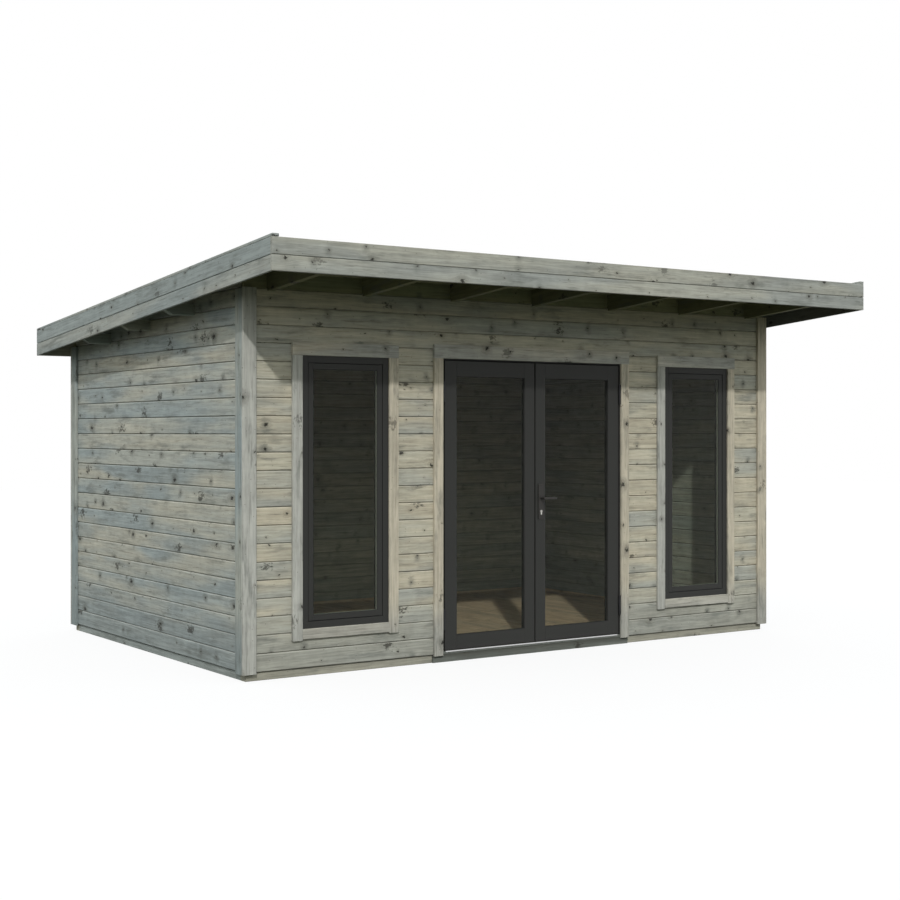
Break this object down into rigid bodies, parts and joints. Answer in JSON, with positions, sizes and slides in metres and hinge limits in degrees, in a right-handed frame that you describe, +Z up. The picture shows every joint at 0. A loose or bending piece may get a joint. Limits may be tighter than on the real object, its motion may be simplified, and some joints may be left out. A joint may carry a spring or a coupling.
{
  "type": "garden house",
  "caption": "Timber garden house with a mono-pitch roof over a deep front eave, board walls, tall fixed-shut windows and glazed double doors that swing outward on a board floor.",
  "frame": {"origin": "On the ground, under the centre of the roof's rectangular outline.", "axes": "+Z is up, the front with the doors faces -Y, and +X runs along the front to the right."},
  "size_m": [4.956, 3.998, 2.6756],
  "materials": {
    "base_timber": "weathered grey sawn timber",
    "floor_timber": "plain planed boards",
    "wall_timber": "weathered grey-green boards with dark knots",
    "trim_timber": "weathered grey boards with dark knots",
    "roof_timber": "weathered grey sawn timber",
    "fascia_timber": "weathered grey boards with dark knots",
    "roof_felt": "dark mineral roofing felt",
    "joinery_paint": "timber with satin anthracite paint",
    "glass": "clear float glass",
    "threshold_metal": "plain mill-finish aluminium",
    "hinge_metal": "black painted steel",
    "handle_metal": "dark satin coated metal",
    "lock_metal": "bright nickel-plated metal"
  },
  "bodies": {
    "house": {"base_beams_long": "base_timber", "base_beams_cross": "base_timber", "floor_bearers": "base_timber", "floor_boards": "floor_timber", "skirting": "floor_timber", "front_wall_left": "wall_timber", "front_wall_right": "wall_timber", "front_wall_header": "wall_timber", "back_wall": "wall_timber", "left_wall": "wall_timber", "right_wall": "wall_timber", "corner_boards_front_back": "trim_timber", "corner_boards_sides": "trim_timber", "window_side_casings": "trim_timber", "window_cross_casings": "trim_timber", "door_side_casings": "trim_timber", "door_head_casing": "trim_timber", "window_frames": "joinery_paint", "window_sashes": "joinery_paint", "window_panes": "glass", "door_jambs": "joinery_paint", "door_head_jamb": "joinery_paint", "door_sill": "base_timber", "door_threshold": "threshold_metal", "frame_hinges": "hinge_metal", "purlins": "roof_timber", "rafters": "roof_timber", "eave_blocks": "roof_timber", "roof_boards": "roof_timber", "roof_felt": "roof_felt", "front_fascia": "fascia_timber", "back_fascia": "fascia_timber", "left_fascia": "fascia_timber", "right_fascia": "fascia_timber", "side_caps": "fascia_timber"},
    "left_door": {"left_leaf": "joinery_paint", "left_leaf_pane": "glass", "left_leaf_hinges": "hinge_metal"},
    "right_door": {"right_leaf": "joinery_paint", "right_leaf_pane": "glass", "right_leaf_hinges": "hinge_metal", "lock_plates": "handle_metal", "lock_cylinder": "lock_metal"},
    "handle": {"lever_handle": "handle_metal"}
  },
  "joints": [
    {"name": "left_door_hinge", "type": "hinge", "parent": "house", "child": "left_door", "pos_m": [-0.772, -1.201, 1.055], "axis": [0, 0, -1], "range_deg": [0, 110]},
    {"name": "right_door_hinge", "type": "hinge", "parent": "house", "child": "right_door", "pos_m": [0.772, -1.201, 1.055], "axis": [0, 0, 1], "range_deg": [0, 110]},
    {"name": "lever_turn", "type": "hinge", "parent": "right_door", "child": "handle", "pos_m": [0.048, -1.176, 1.084], "axis": [0, 1, 0], "range_deg": [0, 40], "stiffness_Nm_per_rad": 1.5, "springref_deg": -22.92}
  ]
}
